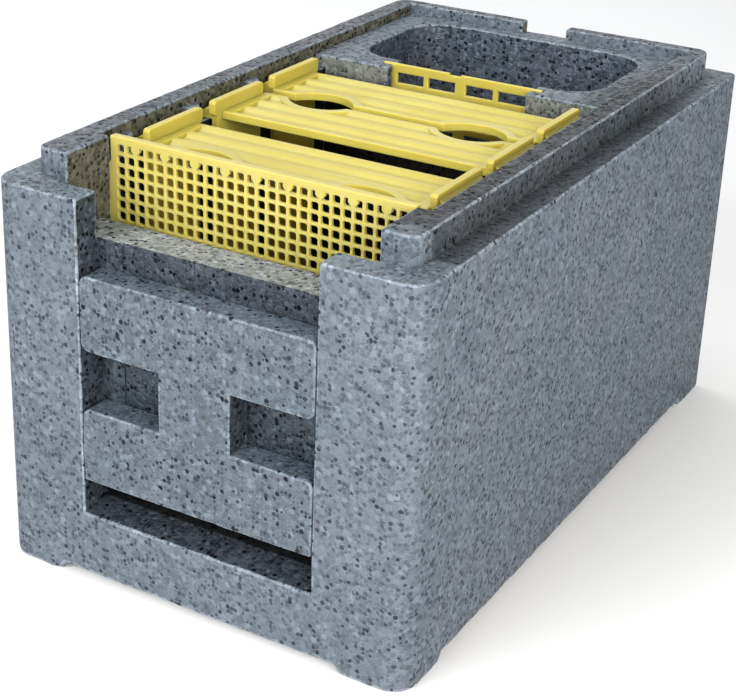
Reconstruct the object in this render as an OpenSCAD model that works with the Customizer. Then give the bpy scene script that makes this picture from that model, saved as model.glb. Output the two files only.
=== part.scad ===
// Mating nuc box for honey bees: foam box, sliding door, vent grid, feeder and three comb frames

/* [Box] */
// Outer width of the box
box_w = 160; // [145:1:200]
// Outer length of the box, front to back
box_l = 266; // [256:1:320]
// Height of the outer ledge that carries a roof
ledge_h = 140; // [132:1:180]
// Height of the rim above the ledge
rim_rise = 9.5; // [8:0.5:14]
// Height of the corner feet
foot_h = 3; // [1:0.5:8]
// Side of each square corner foot, where it meets the floor of the box
foot_w = 26; // [14:1:40]
// Inward slope of a foot's sides over its height
foot_slope = 2.2; // [0:0.1:4]
// Radius of the upright corners at the front
corner_r = 9; // [4:1:14]
// Radius of the upright corners at the back
rear_r = 3; // [1:0.5:4]
// Width of the ledge along the sides
side_ledge = 9.5; // [6:0.5:12]
// Width of the ledge along the back
rear_ledge = 7; // [4:0.5:10]
// Thickness of the rim along the sides
rim_t = 7.8; // [5:0.2:10]
// Thickness of the rim along the back
rear_rim_t = 5.5; // [4:0.5:8]
// Radius of the rim's outer rear corners
rim_r = 6; // [5:1:9]
// Radius of the rim's outer front corners
rim_front_r = 4; // [1:0.5:4.5]
// Width of the shelf inside the side rims
shelf_w = 4.7; // [3.5:0.1:7]
// Width of the shelf inside the rear rim
rear_shelf_w = 3.5; // [2:0.5:6]
// Depth of the shelf below the top of the rim
shelf_drop = 9.2; // [8:0.2:14]
// Thickness of the floor
floor_t = 26; // [14:1:36]
// Width of the gap in the rear rim
rear_gap_w = 19.5; // [10:0.5:40]
// Depth of the gap in the rear rim
rear_gap_d = 5; // [2:0.5:8]
// Width of the spacers between the frames, front to back
spacer_w = 7; // [4:0.5:8]
// Depth of the spacers' tops below the top of the rim
spacer_drop = 3.3; // [1:0.1:6]
// Distance from the spacers' noses to the edge of the shelf
spacer_inset = 0.5; // [0.3:0.1:1]

/* [Front] */
// Thickness of the two front pillars
pillar_d = 10.7; // [8:0.1:16]
// Width of the door channel between the pillars
channel_w = 90; // [70:1:100]
// Thickness of the wall behind the door
wall_t = 15; // [10:0.5:20]
// Depth of that wall's top below the ledge
wall_drop = 16; // [8:0.5:22]
// Room between that wall and the vent grid
well_d = 9.2; // [5:0.2:14]
// Setback of the rim behind the pillars
rim_setback = 1.6; // [0.5:0.1:4]
// Thickness of the foam lip behind the vent grid
lip_t = 2; // [1.5:0.1:5]
// Rise of the landing ramp below the door
ramp_rise = 2.6; // [0.5:0.1:6]
// Height of the entrance slot in the wall behind the door
entrance_h = 14; // [9:0.5:25]
// Width of the shallow relief in that wall
relief_w = 70; // [40:1:85]
// Depth of the relief
relief_d = 0.6; // [0.2:0.1:1.5]

/* [Door] */
// Height of the door
door_h = 74.8; // [60:0.2:82]
// Height of the open entrance under the raised door
door_open = 13.2; // [8:0.2:20]
// Clearance on each side of the door and behind it
door_fit = 0.4; // [0.2:0.05:0.8]
// Height of the two finger notches
finger_h = 21.2; // [16:0.2:26]
// Height of the bar under the notches
lower_bar_h = 27; // [20:0.5:32]
// Width of the stem between the notches
stem_w = 27.4; // [16:0.2:40]
// Radius of the door's corners
door_r = 3; // [1:0.5:6]

/* [Vent grid] */
// Spacing of the holes
vent_pitch = 3.96; // [3.6:0.02:5]
// Width of a hole
vent_hole = 2.9; // [2:0.1:3.2]
// Cut across each corner of a hole
vent_hole_cut = 0.5; // [0.2:0.1:0.8]
// Number of rows
vent_rows = 8; // [4:1:9]
// Thickness of the grid
vent_t = 1.5; // [1:0.1:2.5]
// Thickness of the stiff top edge
vent_edge_t = 3; // [2.6:0.1:5]
// Height of the stiff top edge
vent_edge_h = 1.8; // [1:0.1:2.2]
// Distance from the top edge to the first row
vent_top = 4; // [3.8:0.1:8]
// Distance from the last row to the bottom edge
vent_bottom = 3.4; // [2.5:0.1:8]
// Least distance from an end row of holes to the pillar side
vent_side = 3.2; // [2.5:0.1:8]
// Diameter of the round pads in the top row
vent_pad = 3.5; // [2.5:0.1:4]
// Height of the pads' middles above the middle of the top row
vent_pad_up = 0.8; // [0:0.1:1.2]
// Clearance round the grid
vent_fit = 0.3; // [0.1:0.05:0.6]

/* [Comb frames] */
// Spacing of the frames
frame_pitch = 39.2; // [36:0.2:42]
// Distance from the vent grid to the middle of the first frame
first_frame = 32.1; // [28:0.1:36]
// Length of an end plate's head, front to back
end_len = 31.8; // [30:0.2:33]
// Thickness of an end plate
end_t = 2.7; // [2:0.1:4]
// Height of an end plate's head above the top bar
end_rise = 4.4; // [3:0.1:5.5]
// Depth of the head's underside below the top of the bar
head_drop = 1.2; // [0.6:0.1:2]
// Radius of the head's corners
end_r = 1.3; // [0.5:0.1:2]
// Distance from the rim to the outside of an end plate
end_inset = 6.3; // [5:0.1:9]
// Length of an end plate below its head and of its hanging ear, front to back
ear_len = 28.2; // [24:0.2:29.6]
// Thickness of a hanging ear at its tip
ear_tip = 2; // [1:0.1:3]
// Distance from the top of the head down to the root of the ear
ear_drop = 2; // [1:0.1:3]
// Clearance between an ear and the rim
ear_fit = 0.8; // [0.4:0.1:1.5]
// Thickness of a top bar
bar_t = 3; // [2.4:0.1:5]
// Distance from a frame's middle to the straight edge of its top bar
bar_plain = 11.5; // [9:0.1:14]
// Distance from a frame's middle to the scalloped edge of its top bar
bar_scallop = 17.2; // [15:0.1:18]
// Width of the ribs on a top bar
rib_w = 2; // [1:0.1:3]
// Depth of the valleys between the ribs
valley_d = 1.5; // [0.6:0.1:2]
// Distance from an end plate to the valleys
valley_end = 4; // [2:0.5:8]
// Radius of the corners at the valleys' ends
valley_r = 1.6; // [0.5:0.1:2]
// Distance from a frame's middle to the middle of a scallop
scallop_x = 31; // [20:0.5:36]
// Width of a scallop at the bar's edge
scallop_w = 25; // [16:0.5:28]
// Depth of a scallop
scallop_d = 7; // [4:0.5:9]
// Width of the rib round a scallop
scallop_rib = 3; // [1.5:0.1:4]
// Width of the bars' tongues
tongue_w = 6; // [4:0.5:8]
// Thickness of the bars' tongues
tongue_t = 1.6; // [1:0.1:2]
// Distance from a frame's middle to each tongue of the top bar
tongue_y = 6.5; // [5:0.5:7]
// Clearance round a tongue
tongue_fit = 0.1; // [0.05:0.05:0.3]
// Width of a bottom bar
bottom_w = 10; // [9:0.5:20]
// Thickness of a bottom bar
bottom_t = 4; // [3:0.5:6]
// Height of a bottom bar above the lower end of the end plates
bottom_rise = 3; // [2:0.5:8]
// Room for the bees between the frames and the floor
bee_space = 8; // [5:0.5:12]

/* [Feeder] */
// Distance from the middle of the last frame to the feeder
feeder_gap = 27.4; // [24:0.2:32]
// Depth of the feeder's top below the top of the rim
feeder_drop = 4; // [2:0.5:6]
// Thickness of the feeder's front wall
divider_t = 12; // [9:0.5:18]
// Distance from the feeder's side edge to its pocket
feeder_side = 12; // [9:0.5:18]
// Distance from the feeder's rear edge to its pocket
feeder_rear = 8.6; // [7:0.2:16]
// Radius of the pocket's corners
pocket_r = 15; // [6:1:20]
// Thickness of the feeder's floor
feeder_floor_t = 10; // [6:1:20]
// Clearance between the feeder and the box
feeder_fit = 0.3; // [0.2:0.05:0.8]
// Room under the hanging feeder
feeder_lift = 0.5; // [0.3:0.1:3]
// Width of the gate in the feeder's front wall
gate_w = 59; // [40:1:70]
// Depth of the gate
gate_d = 30; // [18:1:50]
// Width of the grooves at the sides of the gate
groove_w = 2.1; // [1.9:0.1:3]
// Depth of the grooves
groove_d = 2; // [1:0.1:3]
// Distance from the feeder's front to the grooves
groove_y = 4.5; // [3:0.1:6]

/* [Feeder excluder] */
// Thickness of the excluder
excl_t = 1.6; // [1.2:0.1:1.8]
// Height of the excluder above the feeder
excl_rise = 0.5; // [0:0.1:2]
// Overlap of the excluder's ears on the feeder
excl_ear = 4.2; // [3.5:0.1:6]
// Depth of the seats for those ears in the feeder's top
excl_seat = 1; // [0.6:0.1:2]
// Height of the slots that let workers pass
slot_h = 4.2; // [4:0.1:4.6]
// Height of the strips between the slots
slot_strip = 2.5; // [1:0.1:3]
// Height of the top band
excl_band = 3.4; // [2.6:0.1:6]
// Width of the border beside the slots
excl_border = 2; // [1.5:0.1:4]
// Width of the thin posts
excl_post = 2.2; // [1.5:0.1:4]
// Width of the middle post
excl_mid = 4.6; // [3:0.1:8]
// Width of the dip in the top edge
dip_w = 5; // [3:0.5:10]
// Depth of the dip
dip_d = 0.7; // [0.3:0.1:1.2]

/* [Hidden] */
$fn = 64;
foam = [0.55, 0.58, 0.61];
lemon = [0.93, 0.85, 0.36];
// Overshoot of the cuts past open faces, and overlap of the forms that are joined
over = 1;

rim_top = ledge_h + rim_rise;
shelf_z = rim_top - shelf_drop;
floor_z = foot_h + floor_t;
landing_z = floor_z - ramp_rise;
wall_z = ledge_h - wall_drop;
feeder_top = rim_top - feeder_drop;

// Half widths, from the middle plane of the box
rim_outer_x = box_w / 2 - side_ledge;
rim_inner_x = rim_outer_x - rim_t;
cavity_x = rim_inner_x - shelf_w;

// Distances from the front face
wall_back_y = pillar_d + wall_t;
vent_y = wall_back_y + well_d;
slot_back_y = vent_y + vent_t + vent_fit;
cavity_front_y = slot_back_y + lip_t;
rim_back_y = box_l - rear_ledge;
rim_inner_y = rim_back_y - rear_rim_t;
cavity_back_y = rim_inner_y - rear_shelf_w;
function frame_y(i) = vent_y + first_frame + i * frame_pitch;
feeder_y = frame_y(2) + feeder_gap;
feeder_back_y = rim_inner_y - feeder_fit;

vent_h = vent_top + (vent_rows - 1) * vent_pitch + vent_bottom;
vent_z = rim_top - vent_h;
vent_cols = floor(2 * (cavity_x - vent_side) / vent_pitch) + 1;

end_outer_x = rim_inner_x - end_inset;
end_inner_x = end_outer_x - end_t;
bar_top = shelf_z + bar_t;
end_bottom = floor_z + bee_space;
bottom_z = end_bottom + bottom_rise;
top_tongue_z = shelf_z + (bar_t - tongue_t) / 2;
bottom_tongue_z = bottom_z + (bottom_t - tongue_t) / 2;
scallop_r = (scallop_w * scallop_w / 4 + scallop_d * scallop_d) / (2 * scallop_d);

// Puts the front face of a piece at the front of the box, whose middle is the origin
module from_front() {
    translate([0, -box_l / 2, 0]) children();
}

// Block that is centred on the middle plane, from y0 to y1 and from z0 to z1
module slab(half_w, y0, y1, z0, z1) {
    translate([-half_w, y0, z0]) cube([2 * half_w, y1 - y0, z1 - z0]);
}

// Rectangle with round corners, from (x0, y0) to (x1, y1)
module rounded(x0, y0, x1, y1, r) {
    translate([x0 + r, y0]) square([x1 - x0 - 2 * r, y1 - y0]);
    translate([x0, y0 + r]) square([x1 - x0, y1 - y0 - 2 * r]);
    for (x = [x0 + r, x1 - r], y = [y0 + r, y1 - r]) translate([x, y]) circle(r);
}

// Extrudes a drawing of X and Z towards the back, from y0
module stand(y0, depth) {
    translate([0, y0 + depth, 0]) rotate([90, 0, 0]) linear_extrude(depth) children();
}

// Foam box

module outline() {
    rounded(-box_w / 2, 0, box_w / 2, box_l, corner_r);
    rounded(-box_w / 2, box_l / 2, box_w / 2, box_l, rear_r);
}

// Profiles of the two feet along one side of the box, whose length is span; they reach into its floor
module foot_profiles(span) {
    low = foot_w - foot_slope;
    top = foot_h + over;
    polygon([[0, 0], [low, 0], [foot_w, foot_h], [foot_w, top], [0, top]]);
    polygon([[span, 0], [span - low, 0], [span - foot_w, foot_h], [span - foot_w, top], [span, top]]);
}

module foot_pads() {
    intersection() {
        linear_extrude(foot_h + over) outline();
        translate([-box_w / 2, 0, 0]) stand(0, box_l) foot_profiles(box_w);
        translate([-box_w / 2, 0, 0]) rotate([90, 0, 90]) linear_extrude(box_w) foot_profiles(box_l);
    }
}

module outer_block() {
    translate([0, 0, foot_h]) linear_extrude(ledge_h - foot_h) outline();
}

module rim_block() {
    y0 = pillar_d + rim_setback;
    translate([0, 0, ledge_h - over]) linear_extrude(rim_rise + over) union() {
        rounded(-rim_outer_x, y0, rim_outer_x, rim_back_y, rim_r);
        rounded(-rim_outer_x, y0, rim_outer_x, rim_back_y / 2, rim_front_r);
    }
}

// Round-nosed posts on the shelves that keep the ears of the frames apart
module spacers() {
    r = spacer_w / 2;
    nose = shelf_w - spacer_inset - r;
    for (i = [0:2], side = [-1, 1])
        translate([side * rim_inner_x, frame_y(i) - frame_pitch / 2, shelf_z])
            linear_extrude(rim_top - spacer_drop - shelf_z) union() {
                translate([-side * nose, 0]) circle(r);
                translate([side > 0 ? -nose : -over, -r]) square([nose + over, spacer_w]);
            }
}

// Door channel with a floor that climbs to the entrance
module channel_cut() {
    translate([-channel_w / 2, 0, 0]) rotate([90, 0, 90]) linear_extrude(channel_w)
        polygon([[-over, landing_z - over * ramp_rise / pillar_d], [pillar_d, floor_z],
                 [pillar_d, ledge_h + over], [-over, ledge_h + over]]);
}

module box_body() {
    top = rim_top + over;
    color(foam) from_front() {
        foot_pads();
        difference() {
            union() {
                outer_block();
                rim_block();
            }
            slab(cavity_x, cavity_front_y, cavity_back_y, floor_z, top);
            slab(rim_inner_x, vent_y, rim_inner_y, shelf_z, top);
            slab(rim_inner_x, vent_y, slot_back_y, vent_z, top);
            slab(cavity_x, wall_back_y, cavity_front_y + over, vent_z, top);
            slab(cavity_x, pillar_d, vent_y + over, wall_z, top);
            channel_cut();
            slab(channel_w / 2, pillar_d - over, cavity_front_y + over, floor_z, floor_z + entrance_h);
            slab(relief_w / 2, pillar_d - over, pillar_d + relief_d, floor_z, top);
            slab(rear_gap_w / 2, rim_inner_y - over, rim_back_y + over, rim_top - rear_gap_d, top);
        }
        spacers();
    }
}

// Sliding door with a finger notch on each side of its stem

module entrance_door() {
    half = channel_w / 2 - door_fit;
    z0 = landing_z + door_open;
    depth = pillar_d - door_fit;
    color(foam) from_front() difference() {
        stand(0, depth) union() {
            rounded(-half, z0, half, z0 + lower_bar_h, door_r);
            translate([-half, z0]) square([2 * half, lower_bar_h / 2]);
            rounded(-half, z0 + lower_bar_h + finger_h, half, z0 + door_h, door_r);
            translate([-stem_w / 2, z0 + lower_bar_h / 2]) square([stem_w, door_h - lower_bar_h]);
        }
        // The underside climbs like the ramp, so the lowered door closes the entrance
        translate([-half - over, 0, 0]) rotate([90, 0, 90]) linear_extrude(2 * (half + over))
            polygon([[0, z0], [pillar_d, z0 + ramp_rise], [pillar_d, z0 - over], [0, z0 - over]]);
    }
}

// Vent grid

module vent_hole_outline() {
    h = vent_hole / 2;
    c = h - vent_hole_cut;
    polygon([[c, h], [h, c], [h, -c], [c, -h], [-c, -h], [-h, -c], [-h, c], [-c, h]]);
}

module vent_grid() {
    half = cavity_x - vent_fit;
    wing = rim_inner_x - vent_fit;
    first_x = -(vent_cols - 1) / 2 * vent_pitch;
    row_z = rim_top - vent_top;
    color(lemon) from_front() {
        stand(vent_y, vent_t) {
            difference() {
                union() {
                    translate([-half, vent_z]) square([2 * half, vent_h]);
                    translate([-wing, vent_z]) square([2 * wing, shelf_z - vent_z]);
                }
                for (c = [0:vent_cols - 1], r = [0:vent_rows - 1])
                    translate([first_x + c * vent_pitch, row_z - r * vent_pitch]) vent_hole_outline();
            }
            for (c = [1:3:vent_cols - 2])
                translate([first_x + (c + 0.5) * vent_pitch, row_z + vent_pad_up]) circle(d = vent_pad);
        }
        slab(half, vent_y, vent_y + vent_edge_t, rim_top - vent_edge_h, rim_top);
    }
}

// Feeder that hangs on the shelf behind the frames

module feeder_tray() {
    half = rim_inner_x - feeder_fit;
    body_half = cavity_x - feeder_fit;
    pocket_half = half - feeder_side;
    pocket_y = feeder_y + divider_t;
    bottom = floor_z + feeder_lift;
    color(foam) from_front() difference() {
        union() {
            slab(half, feeder_y, feeder_back_y, shelf_z, feeder_top);
            slab(body_half, feeder_y, cavity_back_y - feeder_fit, bottom, shelf_z + over);
        }
        translate([0, 0, bottom + feeder_floor_t]) linear_extrude(feeder_top - bottom)
            rounded(-pocket_half, pocket_y, pocket_half, feeder_back_y - feeder_rear, pocket_r);
        slab(gate_w / 2, feeder_y - over, pocket_y + over, feeder_top - gate_d, feeder_top + over);
        slab(gate_w / 2 + groove_d, feeder_y + groove_y, feeder_y + groove_y + groove_w,
             feeder_top - gate_d, feeder_top + over);
        slab(gate_w / 2 + excl_ear + feeder_fit, feeder_y + groove_y, feeder_y + groove_y + groove_w,
             feeder_top - excl_seat, feeder_top + over);
    }
}

// Grid in the feeder's gate that lets workers through and keeps the queen out

module feeder_excluder() {
    top = feeder_top + excl_rise;
    bottom = feeder_top - gate_d;
    play = (groove_w - excl_t) / 2;
    half = gate_w / 2 + groove_d - play;
    slot_w = (gate_w - 2 * excl_border - 2 * excl_post - excl_mid) / 4;
    pitch_z = slot_h + slot_strip;
    rows = floor((top - bottom - excl_band) / pitch_z);
    color(lemon) from_front() stand(feeder_y + groove_y + play, excl_t) difference() {
        union() {
            translate([-half, bottom]) square([2 * half, top - bottom]);
            translate([-gate_w / 2 - excl_ear, feeder_top - excl_seat])
                square([gate_w + 2 * excl_ear, excl_seat + excl_rise]);
        }
        for (r = [0:rows - 1], side = [-1, 1], k = [0, 1])
            translate([side * (excl_mid / 2 + slot_w / 2 + k * (slot_w + excl_post)),
                       top - excl_band - slot_h / 2 - r * pitch_z])
                square([slot_w, slot_h], center = true);
        translate([-dip_w, top - dip_d]) square([dip_w, dip_d + over]);
    }
}

// Comb frames

// Puts frame i in its place; the middle frame is turned round
module place_frame(i) {
    from_front() translate([0, frame_y(i), 0]) rotate([0, 0, i == 1 ? 180 : 0]) children();
}

module scallops(grow) {
    for (side = [-1, 1])
        translate([side * scallop_x, -bar_scallop + scallop_d - scallop_r]) circle(scallop_r + grow);
}

// Tongues at both ends of a bar that is end_inner_x long to each side
module tongues(y_list, z) {
    tip_x = end_outer_x - tongue_fit;
    root_x = end_inner_x - over;
    for (y = y_list, side = [-1, 1])
        translate([side * (root_x + tip_x) / 2, y, z + tongue_t / 2])
            cube([tip_x - root_x, tongue_w, tongue_t], center = true);
}

// Ribbed bar: the valleys between its ribs are round troughs, and a flat rib goes round each scallop
module top_bar() {
    width = bar_plain + bar_scallop;
    valley_w = (width - 4 * rib_w) / 3;
    valley_half = end_inner_x - valley_end;
    reach = valley_w / 2 + over;
    valley_y = [for (k = [0:2]) -bar_scallop + rib_w + valley_w / 2 + k * (valley_w + rib_w)];
    trough_r = (valley_w * valley_w / 4 + valley_d * valley_d) / (2 * valley_d);
    color(lemon) {
        difference() {
            translate([0, 0, shelf_z]) linear_extrude(bar_t) difference() {
                translate([-end_inner_x, -bar_scallop]) square([2 * end_inner_x, width]);
                scallops(0);
            }
            intersection() {
                translate([0, 0, shelf_z]) linear_extrude(bar_t + over) difference() {
                    for (y = valley_y)
                        rounded(-valley_half, y - reach, valley_half, y + reach, valley_r);
                    scallops(scallop_rib);
                }
                for (y = valley_y)
                    translate([-end_inner_x, y, bar_top - valley_d + trough_r])
                        rotate([0, 90, 0]) cylinder(r = trough_r, h = 2 * end_inner_x);
            }
        }
        tongues([-tongue_y, tongue_y], top_tongue_z);
    }
}

// End plate at the positive X end: a long head, a shorter plate and a sloping ear outside
module end_plate() {
    half = end_len / 2;
    top = bar_top + end_rise;
    head_z = bar_top - head_drop;
    ear_x = end_inset - ear_fit;
    slot = tongue_w + 2 * tongue_fit;
    slot_t = tongue_t + 2 * tongue_fit;
    color(lemon) difference() {
        union() {
            translate([end_inner_x, 0, 0]) rotate([90, 0, 90]) linear_extrude(end_t) union() {
                rounded(-half, head_z, half, top, end_r);
                translate([-ear_len / 2, end_bottom]) square([ear_len, head_z + end_r - end_bottom]);
            }
            translate([end_outer_x, 0, 0]) stand(-ear_len / 2, ear_len)
                polygon([[-over, shelf_z], [ear_x, shelf_z], [ear_x, shelf_z + ear_tip],
                         [0, top - ear_drop], [-over, top - ear_drop]]);
        }
        for (y = [-tongue_y, tongue_y])
            translate([end_inner_x - over, y - slot / 2, top_tongue_z - tongue_fit])
                cube([end_t + over, slot, slot_t]);
        translate([end_inner_x - over, -slot / 2, bottom_tongue_z - tongue_fit])
            cube([end_t + 2 * over, slot, slot_t]);
    }
}

module right_end() {
    end_plate();
}

module left_end() {
    mirror([1, 0, 0]) end_plate();
}

module bottom_bar() {
    color(lemon) {
        translate([-end_inner_x, -bottom_w / 2, bottom_z]) cube([2 * end_inner_x, bottom_w, bottom_t]);
        tongues([0], bottom_tongue_z);
    }
}

box_body();
entrance_door();
vent_grid();
feeder_tray();
feeder_excluder();
place_frame(0) top_bar();  // frame_1_top_bar
place_frame(0) left_end();  // frame_1_left_end
place_frame(0) right_end();  // frame_1_right_end
place_frame(0) bottom_bar();  // frame_1_bottom_bar
place_frame(1) top_bar();  // frame_2_top_bar
place_frame(1) right_end();  // frame_2_left_end
place_frame(1) left_end();  // frame_2_right_end
place_frame(1) bottom_bar();  // frame_2_bottom_bar
place_frame(2) top_bar();  // frame_3_top_bar
place_frame(2) left_end();  // frame_3_left_end
place_frame(2) right_end();  // frame_3_right_end
place_frame(2) bottom_bar();  // frame_3_bottom_bar
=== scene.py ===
"""Looks of the mating nuc box: bead foam, satin yellow plastic, studio light and the photo's camera."""
import math
import random

import bmesh
import bpy
from mathutils import Matrix, Vector


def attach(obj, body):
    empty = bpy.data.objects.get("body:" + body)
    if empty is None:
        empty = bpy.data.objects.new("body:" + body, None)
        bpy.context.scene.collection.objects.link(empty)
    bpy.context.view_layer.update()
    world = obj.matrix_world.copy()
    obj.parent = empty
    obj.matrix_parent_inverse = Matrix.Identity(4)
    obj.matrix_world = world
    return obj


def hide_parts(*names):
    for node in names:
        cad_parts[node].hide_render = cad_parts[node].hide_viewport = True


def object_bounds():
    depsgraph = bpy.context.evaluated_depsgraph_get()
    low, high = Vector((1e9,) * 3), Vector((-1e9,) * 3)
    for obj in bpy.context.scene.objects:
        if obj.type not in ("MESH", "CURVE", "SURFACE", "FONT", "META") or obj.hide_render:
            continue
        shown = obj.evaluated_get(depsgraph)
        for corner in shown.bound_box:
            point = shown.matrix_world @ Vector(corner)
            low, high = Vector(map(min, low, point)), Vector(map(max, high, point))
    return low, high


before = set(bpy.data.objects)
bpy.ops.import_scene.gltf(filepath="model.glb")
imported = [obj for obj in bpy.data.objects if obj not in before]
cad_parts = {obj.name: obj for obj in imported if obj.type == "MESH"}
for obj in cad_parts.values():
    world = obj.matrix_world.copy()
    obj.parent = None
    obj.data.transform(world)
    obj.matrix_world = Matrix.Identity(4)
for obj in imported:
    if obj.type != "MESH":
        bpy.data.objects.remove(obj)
cad_low, cad_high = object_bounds()
MM = 0.001

# Camera, in the photo's frame of 736 by 700 pixels
IMAGE_W = 736
FOCAL_PX = 1726.2
AXIS_PX = (328.8, 292.9)
CENTRE_PX = (368.0, 350.0)
CAMERA_AT = Vector((281.0, -530.4, 331.8)) * MM
CAMERA_AZIMUTH = math.radians(30.333)
CAMERA_ELEVATION = math.radians(23.527)
CAMERA_ROLL = math.radians(1.730)
SENSOR_W = 36.0
CLIP_START = 0.01
CLIP_END = 50

# Studio
SKY_COLOUR = (0.95, 0.97, 1.0)
SKY_STRENGTH = 0.38
LIGHT_TARGET = Vector((0, 0, 0.08))
FLOOR_HALF = 8
FLOOR_GREY = 0.86
FLOOR_ROUGHNESS = 0.7

# Clean copies of the CAD meshes
WELD = 0.002 * MM
FLAT_ANGLE = math.radians(0.5)

# Rounded edges: widths, the least one that is made, and the share of a crossing edge that one may take up
FOAM_EDGE = 0.75 * MM
BASE_EDGE = 1.7 * MM
SHELF_EDGE = 0.35 * MM
PLASTIC_EDGE = 0.35 * MM
HOLE_EDGE = 0.3 * MM
LEAST_EDGE = 0.28 * MM
EDGE_SHARE = 0.42
EDGE_SEGMENTS = 3
FINE_SEGMENTS = 2

# Turns from which an edge is rounded, a chain of edges ends, and an edge is shaded as sharp
EDGE_ANGLE = math.radians(28)
CHAIN_ANGLE = math.radians(30)
CREASE_ANGLE = math.radians(50)

# Worn foam edges: bead-long stretches of the edges that are rounded by at least this share of the widest
NIBBLE = 2.2 * MM
NIBBLE_FROM = 0.4
NIBBLE_LENGTHS = (0.8, 1.2)
NIBBLE_WEAR = (0.4, 1.0)

# Places that tell the faces and edges of the solids apart
FACING = 0.5
CORNER = 9.5 * MM
FACE_NEAR = 0.3 * MM
FOOT = 4 * MM
SHELF = 140.3 * MM
SHELF_NEAR = 0.1 * MM
DEEP_BELOW = 123 * MM
WALL_TOP = 130 * MM
CAVITY_FROM = -105 * MM
FEEDER_FRONT = 45 * MM
NOTCH_WALL = 20 * MM
PAD_ROW_LOW = 143.5 * MM
PAD_ROW_HIGH = 147.3 * MM

# Kinds of foam on the box, on the feeder and on the door, in the order of their materials
# Several of these foams are darker by painted shade, and some warmer by painted yellow bounce light
LEDGE, SKIN, CHANNEL, RIM_INSIDE, CAVITY, RIM_TOP, FRONT_WALL_TOP = range(7)
FEEDER_TOP, FEEDER_HOLLOW, FEEDER_FACE = range(3)
DOOR_SKIN, DOOR_NOTCH = range(2)

# Bead foam: sizes of the beads and patterns
DARK_BEAD = 1.5 * MM
PALE_BEAD = 1.95 * MM
SEED_SPREAD = (1.0, 0.7, 1.3)
DOOR_SEED = 3.1
CLOUD_SCALE = 30
CLOUD_DETAIL = 3
RAGGED_SCALE = 900
RAGGED_DETAIL = 2
RAGGED_BY = 0.4
GRAIN_SCALE = 1900
GRAIN_DETAIL = 1
SIZE_VARIES_BY = 0.24

# Bead foam: the mosaic of cells, clouds, grain and seams
CELL_TONE = 0.26
CLOUD_SPAN = (0.35, 0.65)
CLOUD_TONES = ((0.92, 0.97, 0.98), (1.1, 1.04, 1.04))
GRAIN_SPAN = (0.3, 0.7)
GRAIN_TONE = 0.13
SEAM_SPAN = (0.0, 0.12)
SEAM_TONE = 0.17

# Bead foam: pale beads, and painted glints that brighten them and make the sparkle
PALE_LOT = (0.74, 0.9)
PALE_DISC = (0.6, 0.4)
PALE_SHARE = 0.3
PALE_TONE = 2.2
PALE_GLINT = 2
SPARK_GRAIN = (0.6, 0.72)
SPARK_CLOUD = (0.45, 0.62)

# Bead foam: dark beads with a pale ring
DARK_LOT = (0.1, 0.9)
DARK_RANGE = (0.42, 1.0)
DARK_DISC = (0.68, 0.33)
DARK_SHARE = 0.84
DARK_TINT = (0.1, 0.12, 0.16)
RING_DISC = (0.86, 0.7)
RING_SHARE = 0.2
RING_TONE = 1.8

# Bead foam: sheen and relief
LEAST_ROUGH = 0.72
MOST_ROUGH = 0.78
SPECULAR_DARK = (0.0, 0.8)
SPECULAR_RANGE = (0.35, 0.05)
PILLOW_SPAN = (0.0, 0.24)
DARK_RELIEF = -0.6
GRAIN_RELIEF = 0.5
RELIEF_STRENGTH = 0.4
RELIEF_DEPTH = 0.12 * MM

# Foam in shade: from no effect to the full one, below the shelf and on the right rim
SUNK_Z = (141 * MM, 134 * MM)
RIM_X = (45 * MM, 56 * MM)
RIM_REAR_Y = (110 * MM, 60 * MM)
RIM_FRONT_Y = (-113.5 * MM, -110.5 * MM)

# Satin plastic
YELLOW = (0.475, 0.413, 0.08)
YELLOW_DEEP = (0.45, 0.38, 0.062)
CREAM = (0.475, 0.42, 0.12)
CREAM_DEEP = (0.45, 0.39, 0.09)
# Painted shade: the amber that the frames take on below their bars, and the heights over which it comes
# in
AMBER_SHADE = (0.42, 0.3, 0.045)
SHADE_BELOW_BARS_Z = (140.5 * MM, 110 * MM)
FLOW_SCALE = 40
FLOW_MARKS = (0.3, 0.7)
FLOW_SHEEN = (0.25, 0.75)
FLOW_DULLER = 0.08
FLOW_GLOSSIER = 0.04
SPECK_SCALE = 1500
PLASTIC_DETAIL = 2
PLASTIC_SPECULAR = 0.45
PLASTIC_RELIEF = 0.18
PLASTIC_RELIEF_DEPTH = 0.05 * MM
GLOW_WEIGHT = 0.8
GLOW_RADIUS = (1.0, 0.72, 0.2)
GLOW_SCALE = 3.5 * MM

# The whole range of a pattern or a mask
WHOLE = (0.0, 1.0)

# Sockets of the Mix node that carry colours
MIX_FACTOR, MIX_FIRST, MIX_SECOND = 0, 6, 7
MIX_RESULT = 2


def link_to_scene(name, data):
    """A new object in the scene that shows the data."""
    thing = bpy.data.objects.new(name, data)
    bpy.context.scene.collection.objects.link(thing)
    return thing


def set_camera():
    data = bpy.data.cameras.new("camera")
    data.sensor_width = SENSOR_W
    data.lens = FOCAL_PX / IMAGE_W * SENSOR_W
    data.shift_x = (CENTRE_PX[0] - AXIS_PX[0]) / IMAGE_W
    data.shift_y = (AXIS_PX[1] - CENTRE_PX[1]) / IMAGE_W
    data.clip_start = CLIP_START
    data.clip_end = CLIP_END
    camera = link_to_scene("camera", data)
    level = math.cos(CAMERA_ELEVATION)
    back_x = math.sin(CAMERA_AZIMUTH) * level
    back_y = -math.cos(CAMERA_AZIMUTH) * level
    back = Vector((back_x, back_y, math.sin(CAMERA_ELEVATION)))
    right = Vector((0, 0, 1)).cross(back).normalized()
    up = back.cross(right)
    turn = Matrix((right, up, back)).transposed() @ Matrix.Rotation(CAMERA_ROLL, 3, "Z")
    camera.matrix_world = Matrix.Translation(CAMERA_AT) @ turn.to_4x4()
    bpy.context.scene.camera = camera


def grey(value):
    return (value, value, value)


def brighter(colour, factor):
    """A colour times a factor, held at white."""
    return tuple(min(1, factor * channel) for channel in colour)


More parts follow.
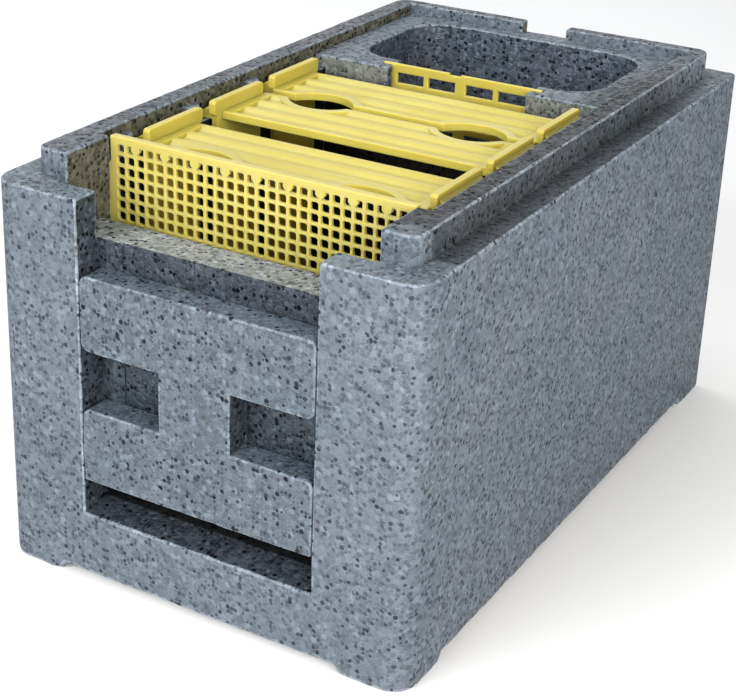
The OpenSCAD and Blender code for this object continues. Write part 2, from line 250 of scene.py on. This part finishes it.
class Nodes:
    """The shader nodes of a new material, with short ways to add and link them."""

    def __init__(self, name):
        self.material = bpy.data.materials.new(name)
        self.material.use_nodes = True
        self.tree = self.material.node_tree
        self.shader = self.tree.nodes["Principled BSDF"]

    def add(self, kind, **settings):
        node = self.tree.nodes.new("ShaderNode" + kind)
        for key, value in settings.items():
            setattr(node, key, value)
        return node

    def feed(self, socket, value):
        """Sets a socket to a number or a colour, or links it to the output of another node."""
        if isinstance(value, (int, float)):
            socket.default_value = value
        elif isinstance(value, tuple):
            socket.default_value = (*value, 1)
        else:
            self.tree.links.new(value, socket)

    def surface(self, key, value):
        self.feed(self.shader.inputs[key], value)

    def object_place(self):
        return self.add("TexCoord").outputs["Object"]

    def axis(self, point, letter):
        node = self.add("SeparateXYZ")
        self.feed(node.inputs[0], point)
        return node.outputs[letter]

    def noise(self, point, scale, detail):
        node = self.add("TexNoise")
        self.feed(node.inputs["Scale"], scale)
        self.feed(node.inputs["Detail"], detail)
        self.feed(node.inputs["Vector"], point)
        return node.outputs["Fac"]

    def math(self, operation, first, second, clamp=False):
        node = self.add("Math", operation=operation, use_clamp=clamp)
        self.feed(node.inputs[0], first)
        self.feed(node.inputs[1], second)
        return node.outputs[0]

    def product(self, first, *others):
        for other in others:
            first = self.math("MULTIPLY", first, other)
        return first

    def span(self, value, edges, results=WHOLE):
        """Runs smoothly between two results while the value runs between two edges."""
        node = self.add("MapRange", interpolation_type="SMOOTHSTEP")
        keys = ("From Min", "From Max", "To Min", "To Max")
        for key, number in zip(keys, (*edges, *results)):
            self.feed(node.inputs[key], number)
        self.feed(node.inputs["Value"], value)
        return node.outputs["Result"]

    def ramp(self, value, edges, tones):
        """Runs straight between two colours while the value runs between two edges."""
        node = self.add("ValToRGB")
        for element, edge, tone in zip(node.color_ramp.elements, edges, tones):
            element.position = edge
            element.color = (*tone, 1)
        self.feed(node.inputs[0], value)
        return node.outputs[0]

    def mix(self, kind, factor, first, second):
        node = self.add("Mix", data_type="RGBA", blend_type=kind)
        self.feed(node.inputs[MIX_FACTOR], factor)
        self.feed(node.inputs[MIX_FIRST], first)
        self.feed(node.inputs[MIX_SECOND], second)
        return node.outputs[MIX_RESULT]

    def shade(self, colour, value, edges, tones):
        """Multiplies a colour by a ramp."""
        return self.mix("MULTIPLY", 1.0, colour, self.ramp(value, edges, tones))

    def relief(self, height, strength, distance):
        node = self.add("Bump")
        self.feed(node.inputs["Strength"], strength)
        self.feed(node.inputs["Distance"], distance)
        self.feed(node.inputs["Height"], height)
        self.surface("Normal", node.outputs["Normal"])


class Foam(Nodes):
    """Fused beads: a mosaic of tones, small dark beads with pale rings, fine grain and painted sparkle.

    dots is the share of small beads that are dark, contrast scales the tones, glint is the painted
    sparkle and seed shifts the beads.
    """

    def __init__(self, name, base, dots, contrast, glint, seed):
        super().__init__(name)
        self.base = base
        self.dots = dots
        self.contrast = contrast
        self.glint = glint
        self.place = self.object_place()
        shifted = self.add("Mapping")
        shifted.inputs["Location"].default_value = [seed * share for share in SEED_SPREAD]
        self.feed(shifted.inputs["Vector"], self.place)
        self.point = shifted.outputs["Vector"]
        self.small = self.beads(DARK_BEAD)
        self.large = self.beads(PALE_BEAD)
        self.seams = self.beads(PALE_BEAD, "DISTANCE_TO_EDGE").outputs["Distance"]
        self.small_lots = self.lots(self.small)
        self.large_lots = self.lots(self.large)
        self.cloud = self.noise(self.point, CLOUD_SCALE, CLOUD_DETAIL)
        self.grain = self.noise(self.point, GRAIN_SCALE, GRAIN_DETAIL)
        self.ragged = self.swing(self.noise(self.point, RAGGED_SCALE, RAGGED_DETAIL), RAGGED_BY)

    def beads(self, size, feature="F1"):
        node = self.add("TexVoronoi", feature=feature)
        self.feed(node.inputs["Scale"], 1 / size)
        self.feed(node.inputs["Vector"], self.point)
        return node

    def lots(self, beads):
        """Three random numbers for each bead."""
        node = self.add("SeparateColor")
        self.feed(node.inputs[0], beads.outputs["Color"])
        return node.outputs

    def swing(self, value, amount):
        """A value from 0 to 1 turned into one around zero."""
        return self.product(self.math("SUBTRACT", value, 0.5), amount)

    def disc(self, beads, edges, shift):
        """1 inside each bead and 0 outside, with a ragged outline."""
        return self.span(self.math("ADD", beads.outputs["Distance"], shift), edges)

    def tones(self, amount):
        """Two greys, as far below and above 1 as the contrast asks."""
        return grey(1 - amount * self.contrast), grey(1 + amount * self.contrast)

    def mosaic(self):
        colour = self.shade(self.base, self.large_lots[1], WHOLE, self.tones(CELL_TONE))
        colour = self.shade(colour, self.cloud, CLOUD_SPAN, CLOUD_TONES)
        colour = self.shade(colour, self.grain, GRAIN_SPAN, self.tones(GRAIN_TONE))
        seam_tones = (grey(1 + SEAM_TONE * self.contrast), grey(1.0))
        return self.shade(colour, self.seams, SEAM_SPAN, seam_tones)

    def with_pale_beads(self, colour):
        lot = self.span(self.large_lots[0], PALE_LOT)
        inside = self.disc(self.large, PALE_DISC, self.ragged)
        pale = self.product(lot, inside, PALE_SHARE * self.contrast)
        # Painted glints: sparkle specks, and pale beads made brighter by the glint
        speckled = self.span(self.grain, SPARK_GRAIN)
        spark = self.product(speckled, self.span(self.cloud, SPARK_CLOUD), self.glint)
        tone = brighter(self.base, PALE_TONE + PALE_GLINT * self.glint)
        return self.mix("MIX", self.math("MAXIMUM", pale, spark), colour, tone)

    def with_dark_beads(self, colour):
        """The colour with dark beads, and how dark they are."""
        chosen = self.span(self.small_lots[0], (self.dots, 0.0))
        depth = self.product(chosen, self.span(self.small_lots[2], DARK_LOT, DARK_RANGE))
        outline = self.math("ADD", self.ragged, self.swing(self.small_lots[1], SIZE_VARIES_BY))
        inside = self.disc(self.small, DARK_DISC, outline)
        ring = self.math("SUBTRACT", self.disc(self.small, RING_DISC, outline), inside, clamp=True)
        pale = self.product(depth, ring, RING_SHARE * self.contrast)
        colour = self.mix("MIX", pale, colour, brighter(self.base, RING_TONE))
        dark = self.math("MULTIPLY", self.product(depth, inside), DARK_SHARE * self.contrast, clamp=True)
        tint = tuple(share * self.base[1] for share in DARK_TINT)
        return self.mix("MIX", dark, colour, tint), dark

    def with_shade(self, colour, right, sunk):
        if sunk < 1:
            below = self.span(self.axis(self.place, "Z"), SUNK_Z)
            colour = self.shade(colour, below, WHOLE, (grey(1.0), grey(sunk)))
        if right < 1:
            along = self.axis(self.place, "Y")
            beside = self.span(self.axis(self.place, "X"), RIM_X)
            on_rim = self.product(beside, self.span(along, RIM_REAR_Y), self.span(along, RIM_FRONT_Y))
            colour = self.shade(colour, on_rim, WHOLE, (grey(1.0), grey(right)))
        return colour

    def set_sheen_and_relief(self, dark):
        roughness = (LEAST_ROUGH - self.glint, MOST_ROUGH)
        self.surface("Roughness", self.span(self.large_lots[2], WHOLE, roughness))
        self.surface("Specular IOR Level", self.span(dark, SPECULAR_DARK, SPECULAR_RANGE))
        pillow = self.span(self.seams, PILLOW_SPAN)
        dented = self.math("ADD", pillow, self.product(dark, DARK_RELIEF))
        height = self.math("ADD", dented, self.product(self.grain, GRAIN_RELIEF))
        self.relief(height, RELIEF_STRENGTH + self.glint, RELIEF_DEPTH)


def foam_material(name, base, dots, contrast, glint, seed=0.0, right=1.0, sunk=1.0):
    """A bead foam; right paints shade on the right rim, sunk paints shade below the shelf."""
    foam = Foam(name, base, dots, contrast, glint, seed)
    colour, dark = foam.with_dark_beads(foam.with_pale_beads(foam.mosaic()))
    foam.surface("Base Color", foam.with_shade(colour, right, sunk))
    foam.set_sheen_and_relief(dark)
    return foam.material


def plastic_material(name, base, deep, roughness, shade_below_bars=None):
    """Satin moulded plastic with faint flow marks and a little light inside.

    The optional last argument gives the amber colour of painted shade that the frames take on below their
    bars.
    """
    nodes = Nodes(name)
    place = nodes.object_place()
    flow = nodes.noise(place, FLOW_SCALE, PLASTIC_DETAIL)
    colour = nodes.mix("MIX", nodes.span(flow, FLOW_MARKS), deep, base)
    if shade_below_bars:
        # Painted shade: amber below the bars of the frames
        colour = nodes.mix("MIX", nodes.span(nodes.axis(place, "Z"), SHADE_BELOW_BARS_Z), colour, shade_below_bars)
    nodes.surface("Base Color", colour)
    sheen = (roughness + FLOW_DULLER, roughness - FLOW_GLOSSIER)
    nodes.surface("Roughness", nodes.span(flow, FLOW_SHEEN, sheen))
    nodes.surface("Specular IOR Level", PLASTIC_SPECULAR)
    nodes.surface("Subsurface Weight", GLOW_WEIGHT)
    nodes.surface("Subsurface Scale", GLOW_SCALE)
    nodes.shader.inputs["Subsurface Radius"].default_value = GLOW_RADIUS
    speck = nodes.noise(place, SPECK_SCALE, PLASTIC_DETAIL)
    nodes.relief(speck, PLASTIC_RELIEF, PLASTIC_RELIEF_DEPTH)
    return nodes.material


def welded_copy(node):
    """A copy of a CAD node's mesh with whole faces again, to bevel."""
    bm = bmesh.new()
    bm.from_mesh(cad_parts[node].data)
    bmesh.ops.remove_doubles(bm, verts=bm.verts, dist=WELD)
    bmesh.ops.dissolve_limit(bm, angle_limit=FLAT_ANGLE, verts=bm.verts, edges=bm.edges)
    bmesh.ops.recalc_face_normals(bm, faces=bm.faces)
    return bm


def edge_turn(edge):
    return edge.calc_face_angle(0.0) if len(edge.link_faces) == 2 else math.pi


def neighbours(edge):
    """The edges at both ends of an edge, each with the turn between the two."""
    along = (edge.verts[1].co - edge.verts[0].co).normalized()
    for vert in edge.verts:
        for other in vert.link_edges:
            if other is not edge:
                beside = (other.verts[1].co - other.verts[0].co).normalized()
                yield other, math.acos(min(1, abs(along.dot(beside))))


def bevel_widths(bm, width_of):
    """A width for each sharp edge, the same along a chain that runs smoothly on, with room beside it."""
    sharp = {edge for edge in bm.edges if edge_turn(edge) > EDGE_ANGLE and width_of(edge)}
    widths = {}
    for first in bm.edges:
        if first not in sharp or first in widths:
            continue
        chain = {first}
        queue = [first]
        width = math.inf
        while queue:
            edge = queue.pop()
            width = min(width, width_of(edge))
            for other, turn in neighbours(edge):
                if turn > CHAIN_ANGLE:
                    width = min(width, other.calc_length() * EDGE_SHARE)
                elif other in sharp and other not in chain:
                    chain.add(other)
                    queue.append(other)
        for edge in chain:
            widths[edge] = width
    return {edge: width for edge, width in widths.items() if width > LEAST_EDGE}


def nibble(bm, weight, dice):
    """Splits the edges of foam into bead-long stretches that are worn by different amounts."""
    for edge in [e for e in bm.edges if e[weight] > NIBBLE_FROM]:
        whole = edge[weight]
        count = int(edge.calc_length() / NIBBLE)
        start = edge.verts[0]
        for step in range(count, 1, -1):
            piece, start = bmesh.utils.edge_split(edge, start, dice.uniform(*NIBBLE_LENGTHS) / step)
            piece[weight] = whole if step == count else whole * dice.uniform(*NIBBLE_WEAR)
            edge[weight] = whole


def crease(piece):
    """Takes the bevel into the mesh and marks the edges that stay sharp."""
    graph = bpy.context.evaluated_depsgraph_get()
    mesh = bpy.data.meshes.new_from_object(piece.evaluated_get(graph))
    bm = bmesh.new()
    bm.from_mesh(mesh)
    for edge in bm.edges:
        edge.smooth = edge_turn(edge) < CREASE_ANGLE
    bm.to_mesh(mesh)
    bm.free()
    piece.modifiers.clear()
    piece.data = mesh


def marked_mesh(node, name, width_of, zone, worn):
    """A node's mesh with the weights of its rounded edges, and the width of the widest of them."""
    bm = welded_copy(node)
    weight = bm.edges.layers.float.new("bevel_weight_edge")
    widths = bevel_widths(bm, width_of)
    widest = max(widths.values())
    for edge, width in widths.items():
        edge[weight] = width / widest
    for face in bm.faces:
        face.smooth = True
        face.material_index = zone(face) if zone else 0
    if worn:
        nibble(bm, weight, random.Random(name))
    mesh = bpy.data.meshes.new(name)
    bm.to_mesh(mesh)
    bm.free()
    return mesh, widest


def dress(node, body, materials, width_of, segments=EDGE_SEGMENTS, zone=None, worn=None):
    """Stands for a CAD node: the same solid, with rounded or worn edges and a real material."""
    name = node + "_piece"
    mesh, widest = marked_mesh(node, name, width_of, zone, worn)
    piece = link_to_scene(name, mesh)
    for material in materials:
        mesh.materials.append(material)
    bevel = piece.modifiers.new("rounded edges", "BEVEL")
    bevel.limit_method = "WEIGHT"
    bevel.width = widest
    bevel.segments = segments
    bevel.use_clamp_overlap = False
    bevel.loop_slide = False
    # The rounded edges take a paler foam: partly rubbed foam, partly painted highlight along the edges
    if worn:
        mesh.materials.append(worn)
        bevel.material = len(materials)
    crease(piece)
    flats = piece.modifiers.new("flat faces", "WEIGHTED_NORMAL")
    flats.keep_sharp = True
    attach(piece, body)
    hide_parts(node)


def body_edge_width(edge):
    """Wide at the foot of the box, finest beside the shelf's spacers, fine at its other outward edges."""
    if not edge.is_convex:
        return 0.0
    if max(vert.co.z for vert in edge.verts) < FOOT:
        return BASE_EDGE
    on_shelf = all(abs(vert.co.z - SHELF) < SHELF_NEAR for vert in edge.verts)
    return SHELF_EDGE if on_shelf else FOAM_EDGE


def grid_edge_width(edge):
    """Fine at every edge that stands out, none in the top row of holes, where the pads leave no room."""
    top = max(vert.co.z for vert in edge.verts)
    if not edge.is_convex or PAD_ROW_LOW < top < PAD_ROW_HIGH:
        return 0.0
    return HOLE_EDGE


def fine(width):
    """The same width for every edge that stands out."""
    return lambda edge: width if edge.is_convex else 0.0


def foam_zone(face):
    """Which foam a face of the box shows, painted shade and painted yellow bounce light among them."""
    at = face.calc_center_bounds()
    normal = face.normal
    outward = at.x * normal.x + at.y * normal.y > 0
    from_side = cad_high.x - abs(at.x)
    from_end = cad_high.y - abs(at.y)
    on_flat = from_side < FACE_NEAR or from_end < FACE_NEAR
    on_corner = from_side < CORNER and from_end < CORNER
    if abs(normal.z) < FACING and outward and (on_flat or on_corner):
        return SKIN
    if FOOT < at.z < DEEP_BELOW:
        return CAVITY if at.y > CAVITY_FROM else CHANNEL
    if abs(normal.x) > FACING and not outward:
        return RIM_INSIDE
    if normal.y < -FACING:
        return SKIN
    if cad_high.z - at.z < FACE_NEAR:
        return RIM_TOP
    return FRONT_WALL_TOP if FOOT < at.z < WALL_TOP else LEDGE


def feeder_zone(face):
    """Which foam a face of the feeder shows; its hidden sides count as hollow, a foam of painted shade.
    """
    at = face.calc_center_bounds()
    if face.normal.y < -FACING and at.y < FEEDER_FRONT:
        return FEEDER_FACE
    return FEEDER_TOP if face.normal.z > FACING and at.z > DEEP_BELOW else FEEDER_HOLLOW


def door_zone(face):
    """Which foam a face of the door shows; the side walls of its notches take a darker foam that is
    painted shade.
    """
    at = face.calc_center_bounds()
    return DOOR_NOTCH if abs(face.normal.x) > FACING and abs(at.x) < NOTCH_WALL else DOOR_SKIN


def dress_foam():
    # Painted shade: right darkens the ledge on the right rim
    ledge = foam_material(
        "foam_inner", (0.112, 0.133, 0.153), dots=0.68, contrast=1.2, glint=0.3, right=0.4)
    skin = foam_material("foam_skin", (0.089, 0.109, 0.132), dots=0.8, contrast=1.0, glint=0.2)
    # The entrance channel is darker partly by its own darker foam and partly by painted shade in the
    # tunnel under the door
    channel = foam_material("foam_deep_darker_and_shaded", (0.029, 0.036, 0.046), dots=0.5, contrast=1.7, glint=0.55)
    # Painted shade and painted yellow bounce light: the inward faces of the rim are darker and warmer
    # than the foam
    rim_inside_shade_and_bounce = foam_material("foam_rim", (0.078, 0.078, 0.06), dots=0.74, contrast=1.4, glint=0.3)
    # Painted shade: the foam low inside the box is nearly black
    cavity_shade = foam_material("foam_cavity", (0.0055, 0.006, 0.007), dots=0.6, contrast=1.2, glint=0.2)
    # Painted shade: right darkens the rim top on the right rim
    rim_top = foam_material(
        "foam_rim_top", (0.076, 0.087, 0.1), dots=0.68, contrast=1.3, glint=0.3, right=0.33)
    # Painted yellow bounce light: the top of the front wall under the vent grid is lighter and khaki
    wall_top_yellow_bounce = foam_material("foam_wall_top", (0.195, 0.213, 0.211), dots=0.68, contrast=1.3, glint=0.3)
    # Paler foam of the rounded edges: partly rubbed foam, partly painted highlight
    worn = foam_material("foam_worn_and_highlight", (0.15, 0.178, 0.208), dots=0.66, contrast=1.2, glint=0.2)
    box_foams = (ledge, skin, channel, rim_inside_shade_and_bounce, cavity_shade, rim_top, wall_top_yellow_bounce)
    dress("box_body", "box", box_foams, body_edge_width, zone=foam_zone, worn=worn)

    door = foam_material(
        "foam_door", (0.072, 0.091, 0.113), dots=0.68, contrast=1.2, glint=0.35, seed=DOOR_SEED)
    # Painted shade: the side walls of the door's notches are darker
    notch = foam_material(
        "foam_notch_shade", (0.024, 0.03, 0.038), dots=0.66, contrast=1.6, glint=0.4, seed=DOOR_SEED)
    # Paler foam of the door's rounded edges: partly rubbed foam, partly painted highlight
    door_worn_and_highlight = foam_material(
        "foam_door_worn", (0.12, 0.148, 0.178), dots=0.66, contrast=1.3, glint=0.25, seed=DOOR_SEED)
    door_foams = (door, notch)
    dress("entrance_door", "door", door_foams, fine(FOAM_EDGE), zone=door_zone, worn=door_worn_and_highlight)

    # Painted shade: the feeder's pocket is darker than its top
    hollow = foam_material("foam_pocket_shade", (0.049, 0.06, 0.077), dots=0.5, contrast=1.7, glint=0.55)
    # Painted yellow bounce light on the feeder's face towards the frames, and painted shade below the
    # shelf
    front = foam_material(
        "foam_feeder_front_bounce_and_shade", (0.135, 0.142, 0.126), dots=0.66, contrast=1.3, glint=0.3, sunk=0.06)
    feeder_foams = (ledge, hollow, front)
    dress("feeder_tray", "feeder", feeder_foams, fine(FOAM_EDGE), zone=feeder_zone, worn=worn)


def dress_plastic():
    cream = plastic_material("yellow_plastic_grid", CREAM, CREAM_DEEP, roughness=0.4)
    yellow = plastic_material("yellow_plastic", YELLOW, YELLOW_DEEP, roughness=0.36)
    frame_plastic_shaded_below = plastic_material("yellow_plastic_frame", YELLOW, YELLOW_DEEP, roughness=0.36, shade_below_bars=AMBER_SHADE)
    dress("vent_grid", "vent", (cream,), grid_edge_width, FINE_SEGMENTS)
    dress("feeder_excluder", "excluder", (yellow,), fine(PLASTIC_EDGE), FINE_SEGMENTS)
    for number in (1, 2, 3):
        body = "frame_%d" % number
        for part in ("top_bar", "left_end", "right_end", "bottom_bar"):
            dress("%s_%s" % (body, part), body, (frame_plastic_shaded_below,), fine(PLASTIC_EDGE))


def area_light(name, at, size, power, colour):
    """A rectangular lamp that shines at the box."""
    data = bpy.data.lights.new(name, "AREA")
    data.shape = "RECTANGLE"
    data.size, data.size_y = size
    data.energy = power
    data.color = colour
    light = link_to_scene(name, data)
    light.location = at
    light.rotation_euler = (LIGHT_TARGET - Vector(at)).to_track_quat("-Z", "Y").to_euler()


def set_lights():
    world = bpy.data.worlds.new("studio")
    world.use_nodes = True
    background = world.node_tree.nodes["Background"]
    background.inputs["Color"].default_value = (*SKY_COLOUR, 1)
    background.inputs["Strength"].default_value = SKY_STRENGTH
    bpy.context.scene.world = world
    area_light("key", at=(-0.38, -1.48, 0.82), size=(0.9, 0.7), power=24, colour=(0.97, 0.985, 1.0))
    area_light("top", at=(-0.8, 0.15, 1.25), size=(0.9, 0.9), power=9.5, colour=(0.98, 0.99, 1.0))
    area_light("fill", at=(0.68, -0.58, 0.44), size=(0.7, 0.5), power=11, colour=(1.0, 0.955, 0.9))
    area_light("back card", at=(-0.9, 1.6, 0.8), size=(2.0, 1.2), power=9, colour=(1.0, 1.0, 1.0))
    bpy.context.scene.view_settings.view_transform = "Standard"


def lay_floor():
    mesh = bpy.data.meshes.new("floor")
    bm = bmesh.new()
    bmesh.ops.create_grid(bm, x_segments=1, y_segments=1, size=FLOOR_HALF)
    bm.to_mesh(mesh)
    bm.free()
    floor = link_to_scene("floor", mesh)
    nodes = Nodes("pale_floor")
    nodes.surface("Base Color", grey(FLOOR_GREY))
    nodes.surface("Roughness", FLOOR_ROUGHNESS)
    mesh.materials.append(nodes.material)


set_camera()
dress_foam()
dress_plastic()
set_lights()
lay_floor()
